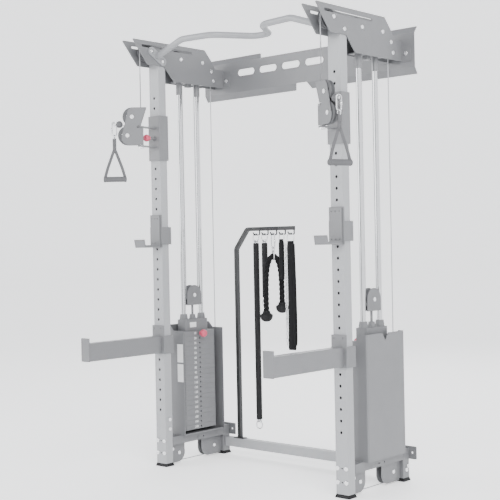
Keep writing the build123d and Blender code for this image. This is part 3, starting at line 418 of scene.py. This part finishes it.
def handle(side, sign):
    """Stop ball, snap link, ring, webbing and grip of one D-handle."""
    along, across = housing_axes(sign)
    origin = Vector((sign * UPRIGHT_X, SWIVEL_Y, 0)) + along * 0.134 + Vector((0, 0, 1.725))
    ball_at = origin - along * 0.026
    grip_way = across if sign > 0 else along
    flat = along if sign > 0 else across
    up = Vector((0, 0, 1))
    body = f"handle_{side}"

    bm = bmesh.new()
    profile = [(0.0173 * sin(pi * k / 16) + 0.0001, -0.0173 * cos(pi * k / 16)) for k in range(17)]
    lathe(bm, ball_at, along, profile)
    ball = mesh_object(f"stop_ball_{side}", bm, "black_rubber", look="faded_rubber")
    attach(ball, body)

    bm = bmesh.new()
    stalk = [(0.0055, 0), (0.0055, 0.004), (0.0035, 0.005), (0.0035, 0.011)]
    lathe(bm, ball_at + along * 0.0165, along, stalk, 20)
    closed_tube(bm, oblong(origin - along * 0.001, 0.0075, 0.0074, along, up), circle(0.0022), across)
    link = oblong(origin - up * 0.0225, 0.034, 0.0115, up, grip_way)
    closed_tube(bm, link, circle(0.0032), flat)
    gate = origin - up * 0.0225 + grip_way * 0.0115
    lathe(bm, gate - up * 0.012, up, [(0.0032, 0), (0.0048, 0.001), (0.0048, 0.017), (0.0032, 0.018)], 16)
    closed_tube(bm, oblong(origin - up * 0.0635, 0.0125, 0.0124, up, flat), circle(0.0026), grip_way)
    metal = mesh_object(f"snap_link_{side}", bm, "chrome")
    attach(metal, body)

    grip_at = origin - up * 0.273
    bm = bmesh.new()
    ring_bottom = origin - up * 0.0755
    loop = oblong(ring_bottom - up * 0.0105, 0.0155, 0.0052, up, flat)
    closed_tube(bm, loop, flat_section(0.018, 0.0026), grip_way)
    stem = [ring_bottom - up * 0.020, ring_bottom - up * 0.062]
    tube_mesh(bm, stem, flat_section(0.0185, 0.006), grip_way)
    for way in (-1, 1):
        start = ring_bottom - up * 0.055 + grip_way * way * 0.004
        mid = grip_at + up * 0.055 + grip_way * way * 0.036
        end = grip_at + up * 0.006 + grip_way * way * 0.050
        points = [p + flat * way * 0.0007 for p in (start, start.lerp(mid, 0.5), mid, end)]
        tube_mesh(bm, smooth_line(points, 10), flat_section(0.0145, 0.0055), grip_way)
    strap = mesh_object(f"strap_{side}", bm, "black_webbing", look="faded_webbing")
    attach(strap, body)

    bm = bmesh.new()
    half = 0.0575
    profile = [(0.007, -half), (0.0125, -half + 0.001), (0.0146, -half + 0.004), (0.0146, -half + 0.009)]
    count = 26
    for k in range(count + 1):
        z = (half - 0.012) * (2 * k / count - 1)
        profile.append((0.0136 - 0.0006 * (k % 2), z))
    profile += [(r, -z) for r, z in reversed(profile[:4])]
    lathe(bm, grip_at, grip_way, profile)
    grip = mesh_object(f"grip_{side}", bm, "black_rubber", look="faded_rubber")
    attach(grip, body)
    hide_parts(f"handle_clip_{side}")
    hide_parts(f"handle_strap_{side}")
    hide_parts(f"handle_grip_{side}")


def smooth_line(points, per=8):
    """A Catmull-Rom line through the points."""
    line = [points[0]]
    padded = [points[0] * 2 - points[1]] + list(points) + [points[-1] * 2 - points[-2]]
    for k in range(1, len(padded) - 2):
        a, b, c, d = padded[k - 1:k + 3]
        for step in range(1, per + 1):
            t = step / per
            line.append(
                0.5 * (
                    2 * b + (c - a) * t + (2 * a - 5 * b + 4 * c - d) * t**2
                    + (3 * b - a - 3 * c + d) * t**3
                )
            )
    return line


# ---------------------------------------------------------------- hanging accessories
def hook_x(k):
    return HOOK_X0 + HOOK_PITCH * k


def padded_bar(name, k, z0):
    """A grip bar with a clevis and a ring at each end."""
    x = hook_x(k)
    top = 1.120
    up = Vector((0, 0, 1))
    along_x = Vector((1, 0, 0))
    bm = bmesh.new()
    length = top - z0
    profile = [(0.012, 0), (0.0152, 0.002)]
    knurl = int(length / 0.016)
    for i in range(knurl + 1):
        profile.append((0.0155 - 0.0003 * (i % 2), 0.006 + (length - 0.012) * i / knurl))
    profile += [(0.0152, length - 0.002), (0.012, length)]
    lathe(bm, Vector((x, HANG_Y, z0)), up, profile, 28)
    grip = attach(mesh_object(f"{name}_grip", bm, "black_rubber"), name)
    bm = bmesh.new()
    for face, way in ((top, 1), (z0, -1)):
        centre = Vector((x, HANG_Y, face))
        cap = [(0.0105, -0.004), (0.0105, 0.004), (0.0075, 0.0055), (0.0075, 0.009)]
        lathe(bm, centre, up * way, cap, 24)
        for side in (-1, 1):
            ear = centre + Vector((side * 0.0085, 0, way * 0.011))
            lathe(bm, ear - along_x * 0.0018, along_x, [(0.0065, 0), (0.0065, 0.0036)], 18)
        pin_at = centre + Vector((-0.0115, 0, way * 0.011))
        lathe(bm, pin_at, along_x, [(0.003, 0), (0.003, 0.023)], 14)
        ring_at = centre + up * way * 0.0275
        angles = [2 * pi * i / 40 for i in range(40)]
        line = [ring_at + Vector((0.0195 * cos(a), 0, 0.0208 * sin(a))) for a in angles]
        closed_tube(bm, line, circle(0.0026), Vector((0, 1, 0)))
    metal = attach(mesh_object(f"{name}_rings", bm, "chrome"), name)
    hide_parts(name)
    return metal


ROPE_SPREAD = (0.025, 0.033)
ROPE_TOP_Z = 1.0514
ROPE_END_Z = (0.770, 0.812)


def rope_points():
    """The rope's centre line, in metres."""
    x = hook_x(2)
    dx, dy = ROPE_SPREAD
    side = [
        (1.00, 0.800), (1.02, 0.850), (0.98, 0.930), (0.86, 0.990), (0.60, 1.029), (0.22, ROPE_TOP_Z),
    ]
    left = [Vector((x - dx * f, HANG_Y - dy * f, z)) for f, z in side]
    right = [Vector((x + dx * f, HANG_Y + dy * f, z)) for f, z in reversed(side)]
    left[0].z = ROPE_END_Z[0]
    right[-1].z = ROPE_END_Z[1]
    return left + right


def spline_line(points, steps=220):
    """Points read from a NURBS through the rope's route."""
    data = bpy.data.curves.new("rope_guide", "CURVE")
    data.dimensions = "3D"
    data.resolution_u = 24
    spline = data.splines.new("NURBS")
    spline.points.add(len(points) - 1)
    for target, point in zip(spline.points, points):
        target.co = (*point, 1)
    spline.order_u = 3
    spline.use_endpoint_u = True
    guide = bpy.data.objects.new("rope_guide", data)
    bpy.context.scene.collection.objects.link(guide)
    depsgraph = bpy.context.evaluated_depsgraph_get()
    mesh = guide.evaluated_get(depsgraph).to_mesh()
    line = [v.co.copy() for v in mesh.vertices]
    bpy.data.objects.remove(guide)
    lengths = [0]
    for a, b in zip(line, line[1:]):
        lengths.append(lengths[-1] + (b - a).length)
    result, k = [], 0
    for step in range(steps + 1):
        want = lengths[-1] * step / steps
        while k < len(line) - 2 and lengths[k + 1] < want:
            k += 1
        span = lengths[k + 1] - lengths[k]
        result.append(line[k].lerp(line[k + 1], (want - lengths[k]) / span))
    return result, lengths[-1]


def triceps_rope():
    """A laid rope of three strands over its link, with moulded stoppers."""
    line, length = spline_line(rope_points())
    strands = 3
    strand_r = 0.0072
    offset = 0.0077
    lay = 0.072
    bm = bmesh.new()
    places = frames_along(line, Vector((0.7, -0.7, 0)))
    for s in range(strands):
        path = []
        for k, (point, x_axis, y_axis) in enumerate(places):
            a = 2 * pi * (length * k / (len(line) - 1) / lay + s / strands)
            path.append(point + x_axis * offset * cos(a) + y_axis * offset * sin(a))
        tube_mesh(bm, path, circle(strand_r, 14))
    rope = mesh_object("rope_strands", bm, "black_webbing")
    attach(rope, "rope")
    bm = bmesh.new()
    for end in (line[0], line[-1]):
        profile = [(0.002, -0.0525), (0.014, -0.0505), (0.0235, -0.0445), (0.030, -0.035)]
        profile += [(0.0328, -0.024)]
        profile += [(0.0325, -0.018), (0.030, -0.0145), (0.025, -0.011), (0.020, -0.0075)]
        profile += [(0.0188, -0.002), (0.0172, 0.004)]
        lathe(bm, end, Vector((0, 0, 1)), profile, 40)
    ends = mesh_object("rope_stoppers", bm, "black_rubber")
    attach(ends, "rope")
    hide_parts("rope_cord")
    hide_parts("rope_ends")
    return length


def rope_link():
    """Snap hook, swivel link and the ring round the rope."""
    x = hook_x(2)
    up = Vector((0, 0, 1))
    top = HOOK_Z + 0.0099
    bm = bmesh.new()
    centre = Vector((x, HANG_Y, top - 0.041))
    along_x, along_y = Vector((1, 0, 0)), Vector((0, 1, 0))
    closed_tube(bm, oblong(centre, 0.038, 0.0105, up, along_x), circle(0.0032), along_y)
    nut = [(0.0032, 0), (0.0048, 0.001), (0.0048, 0.018), (0.0032, 0.019)]
    lathe(bm, centre + Vector((0.0105, 0, -0.014)), up, nut, 16)
    link_z = top - 0.082 + 0.0094 - 0.0125
    swivel = oblong(Vector((x, HANG_Y, link_z)), 0.0125, 0.0085, up, along_y)
    closed_tube(bm, swivel, circle(0.003), along_x)
    ring_z = link_z - 0.0125 + 0.0064 - 0.024
    along = Vector((ROPE_SPREAD[0], ROPE_SPREAD[1], 0)).normalized()
    side = Vector((along.y, -along.x, 0))
    ring_at = Vector((x, HANG_Y, ring_z))
    angles = [2 * pi * i / 44 for i in range(44)]
    line = [ring_at + side * 0.022 * cos(a) + up * 0.024 * sin(a) for a in angles]
    closed_tube(bm, line, circle(0.003), along)
    link = mesh_object("rope_link", bm, "chrome")
    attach(link, "rope")
    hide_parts("rope_clip")


def hanging_ring(name, x, body, half_w=0.020, drop=0.040):
    """A D-shaped ring over a prong."""
    top = HOOK_Z + 0.0062
    line = []
    for k in range(25):
        a = pi * k / 24
        line.append(Vector((x + half_w * cos(a), HANG_Y, top - half_w + half_w * sin(a))))
    low = top - drop
    line += [Vector((x - half_w, HANG_Y, low + 0.004)), Vector((x - half_w + 0.004, HANG_Y, low))]
    line += [Vector((x + half_w - 0.004, HANG_Y, low)), Vector((x + half_w, HANG_Y, low + 0.004))]
    bm = bmesh.new()
    closed_tube(bm, line, circle(0.0024), Vector((0, 1, 0)))
    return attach(mesh_object(name, bm, "chrome"), body)


def strap_layer(bm, x, y, widths, thick, wave):
    """A hanging strap with widths at heights, rippling slightly in Y."""
    rings = []
    steps = 48
    z_high, z_low = widths[0][0], widths[-1][0]
    for k in range(steps + 1):
        z = z_high + (z_low - z_high) * k / steps
        for (za, wa, oa), (zb, wb, ob) in zip(widths, widths[1:]):
            if zb <= z <= za:
                t = (za - z) / (za - zb)
                width, shift = wa + (wb - wa) * t, oa + (ob - oa) * t
        ripple = wave * sin(11 * (z_high - z) + x * 40)
        section = [(a, b) for a, b in flat_section(width, thick)]
        rings.append([bm.verts.new((x + shift + a, y + b + ripple, z)) for a, b in section])
    for first, second in zip(rings, rings[1:]):
        bridge(bm, first, second)
    bm.faces.new(rings[0])
    bm.faces.new(rings[-1])


def ankle_cuff():
    x = hook_x(3) - 0.002
    ring = hanging_ring("ankle_ring", hook_x(3), "ankle_strap", 0.0155, 0.036)
    bm = bmesh.new()
    cuff_widths = [(1.138, 0.024, -0.002), (1.118, 0.030, 0), (0.955, 0.032, 0), (0.932, 0.022, 0.003)]
    strap_layer(bm, x, HANG_Y, cuff_widths, 0.012, 0.0)
    strap_layer(bm, x, HANG_Y - 0.0068, [(1.120, 0.026, 0), (0.985, 0.027, 0)], 0.0028, 0.0)
    cuff = mesh_object("ankle_cuff", bm, "black_webbing")
    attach(cuff, "ankle_strap")
    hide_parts("ankle_strap")
    return ring


def hanging_belt():
    x = hook_x(4) + 0.004
    ring = hanging_ring("belt_ring", hook_x(4), "belt", 0.022, 0.044)
    bm = bmesh.new()
    front = [
        (1.128, 0.038, 0), (1.100, 0.046, 0), (0.90, 0.047, 0.001), (0.70, 0.048, 0.001),
        (0.590, 0.050, 0), (0.578, 0.044, 0),
    ]
    back = [
        (1.112, 0.040, -0.001), (0.95, 0.048, -0.001), (0.72, 0.051, 0), (0.63, 0.052, 0),
        (0.60, 0.046, 0),
    ]
    strap_layer(bm, x, HANG_Y - 0.0048, front, 0.0065, 0.0005)
    strap_layer(bm, x, HANG_Y + 0.0038, back, 0.0062, 0.0006)
    belt = mesh_object("belt_layers", bm, "black_webbing")
    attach(belt, "belt")
    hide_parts("belt")
    return ring


def hanging_chain():
    """Links turned a quarter from one to the next, in two strands."""
    x = hook_x(4) - 0.033
    up = Vector((0, 0, 1))
    half, pitch, wire = 0.0115, 0.0172, 0.0019
    ways = (Vector((1, 0, 0)), Vector((0, 1, 0)))
    bm = bmesh.new()
    count = int((1.120 - 0.600) / pitch)
    for strand, dy in enumerate((-0.0028, 0.0028)):
        for k in range(count - strand * 6):
            centre = Vector((x + 0.0016 * (-1) ** strand, HANG_Y + dy, 1.108 - k * pitch - strand * 0.006))
            side, normal = ways[k % 2] * 1.0, ways[(k + 1) % 2] * 1.0
            tilt = Matrix.Rotation(0.5 * (-1) ** strand, 3, "Z")
            line = oblong(centre, half * 0.92, 0.0045, up, tilt @ side, 6)
            closed_tube(bm, line, circle(wire * 0.85, 8), tilt @ normal)
    chain = mesh_object("chain_links", bm, "steel")
    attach(chain, "chain")
    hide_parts("chain")


# ---------------------------------------------------------------- numbers and labels
def text_mesh(name, words, size, place, material, body, depth=0.0003):
    """Plain figures as a mesh, set on a face by a 4x4 matrix."""
    data = bpy.data.curves.new(name, "FONT")
    data.body = words
    data.size = size
    data.extrude = depth
    data.align_x = "CENTER"
    data.align_y = "CENTER"
    curve = bpy.data.objects.new(name + "_curve", data)
    bpy.context.scene.collection.objects.link(curve)
    depsgraph = bpy.context.evaluated_depsgraph_get()
    mesh = bpy.data.meshes.new_from_object(curve.evaluated_get(depsgraph))
    bpy.data.objects.remove(curve)
    mesh.transform(place)
    mesh.materials.clear()
    mesh.materials.append(MATERIALS[material])
    obj = bpy.data.objects.new(name, mesh)
    bpy.context.scene.collection.objects.link(obj)
    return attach(obj, body)


def facing_in(sign, point):
    """A placement on a side unit's inner face: text reads upright from the middle of the machine."""
    out = Vector((-sign, 0, 0))
    right = Vector((0, 0, 1)).cross(out)
    rows = Matrix((right, Vector((0, 0, 1)), out)).transposed().to_4x4()
    return Matrix.Translation(point) @ rows


def plate_numbers(side, sign):
    face = sign * (UPRIGHT_X - STACK_W / 2)
    for k in range(PLATE_COUNT):
        number = str(10 * (PLATE_COUNT + 1 - k))
        z = STACK_Z0 + PLATE_PITCH * (k + 0.5) - 0.0003
        place = facing_in(sign, Vector((face - sign * 0.0002, STACK_Y - 0.034, z)))
        text_mesh(f"plate_number_{side}_{k:02d}", number, 0.017, place, "white_print", "frame")
    z = STACK_Z0 + PLATE_PITCH * (PLATE_COUNT + 0.5)
    place = facing_in(sign, Vector((face - sign * 0.0002, STACK_Y - 0.034, z)))
    text_mesh(f"head_number_{side}", "10", 0.017, place, "white_print", f"lift_head_{side}")


def label(name, corners, body="frame"):
    """A blank printed label from four corners, a fraction of a millimetre thick."""
    bm = bmesh.new()
    a, b, c, d = [Vector(p) for p in corners]
    normal = (b - a).cross(d - a).normalized() * 0.0004
    low = [bm.verts.new(p) for p in (a, b, c, d)]
    high = [bm.verts.new(p + normal) for p in (a, b, c, d)]
    bridge(bm, low, high)
    bm.faces.new(low)
    bm.faces.new(high)
    obj = mesh_object(name, bm, "white_print", False)
    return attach(obj, body)


def labels(side, sign):
    x0, x1 = sign * 0.512, sign * 0.553
    y = 0.0858
    for k, (z0, z1) in enumerate(((0.417, 0.508), (0.517, 0.610))):
        label(f"shroud_label_{side}_{k}", [(x0, y, z0), (x1, y, z0), (x1, y, z1), (x0, y, z1)][::sign])
    face = sign * (UPRIGHT_X - 0.0322)
    z0, z1 = 0.690, 0.716
    y0, y1 = STACK_Y - 0.052, STACK_Y - 0.006
    corners = [(face, y0, z0), (face, y0, z1), (face, y1, z1), (face, y1, z0)][::sign]
    label(f"head_label_{side}", corners, f"lift_head_{side}")


# ---------------------------------------------------------------- camera, light and floor
def camera():
    """A long lens at chest height, looking from the machine's front right corner."""
    data = bpy.data.cameras.new("camera")
    data.lens = 77.88
    data.sensor_width = 36
    data.clip_end = 60
    obj = bpy.data.objects.new("camera", data)
    yaw, pitch, roll = radians(41.645), radians(-0.440), radians(-1.154)
    turn = Matrix.Rotation(yaw, 4, "Z") @ Matrix.Rotation(pi / 2 + pitch, 4, "X")
    turn = turn @ Matrix.Rotation(roll, 4, "Z")
    obj.matrix_world = Matrix.Translation((3.4175, -3.8027, 1.1276)) @ turn
    bpy.context.scene.collection.objects.link(obj)
    bpy.context.scene.camera = obj


def area_light(name, place, target, size, power, colour=(1, 1, 1)):
    data = bpy.data.lights.new(name, "AREA")
    data.shape = "RECTANGLE"
    data.size, data.size_y = size
    data.energy = power
    data.color = colour
    obj = bpy.data.objects.new(name, data)
    obj.location = place
    obj.rotation_euler = (Vector(target) - Vector(place)).to_track_quat("-Z", "Y").to_euler()
    bpy.context.scene.collection.objects.link(obj)


def studio():
    """Pale floor that curves up into a backdrop all round, with big soft lights."""
    bm = bmesh.new()
    radius = 14
    section = [(0.001, 0.0), (4.0, 0.0), (9.0, 0.0), (11.5, 0.5), (13.2, 2.2)]
    section += [(radius, 5.0), (radius, 9.0)]
    rings = [
        [bm.verts.new((r * cos(2 * pi * k / 64), r * sin(2 * pi * k / 64), z - 0.0005)) for k in range(64)]
        for r, z in section
    ]
    for first, second in zip(rings, rings[1:]):
        bridge(bm, first, second)
    n = Nodes("backdrop")
    n.base(n.mix(n.noise(0.6), (0.86, 0.863, 0.866, 1), (0.88, 0.883, 0.886, 1)), 0.6)
    n.put(n.shader.inputs["Emission Color"], (1, 1, 1, 1))
    n.put(n.shader.inputs["Emission Strength"], 0.75)
    MATERIALS["backdrop"] = n.material
    mesh = bpy.data.meshes.new("floor")
    bmesh.ops.recalc_face_normals(bm, faces=bm.faces)
    bm.to_mesh(mesh)
    bm.free()
    for polygon in mesh.polygons:
        polygon.use_smooth = True
    floor = bpy.data.objects.new("floor", mesh)
    bpy.context.scene.collection.objects.link(floor)
    floor.data.materials.append(n.material)
    world = bpy.data.worlds.new("studio")
    world.use_nodes = True
    world.node_tree.nodes["Background"].inputs["Color"].default_value = (0.93, 0.95, 1.0, 1)
    world.node_tree.nodes["Background"].inputs["Strength"].default_value = 1.0
    bpy.context.scene.world = world
    area_light("key", (4.2, -2.6, 4.6), (0, 0.1, 1.0), (3.0, 3.0), 330)
    area_light("fill", (-3.6, -4.2, 2.8), (0, 0.1, 1.1), (3.5, 3.5), 150)
    area_light("back", (-1.5, 4.5, 4.0), (0, 0.1, 1.2), (4.0, 2.0), 160)


paint_frame()
detail_looks()
camera()
studio()
for side, sign in SIDES.items():
    side_cables(side, sign)
    stack_cables(side, sign)
    handle(side, sign)
    plate_numbers(side, sign)
    labels(side, sign)
padded_bar("long_bar", 0, 0.207)
padded_bar("short_bar", 1, 0.840)
print("rope length", round(triceps_rope(), 4))
rope_link()
ankle_cuff()
hanging_belt()
hanging_chain()
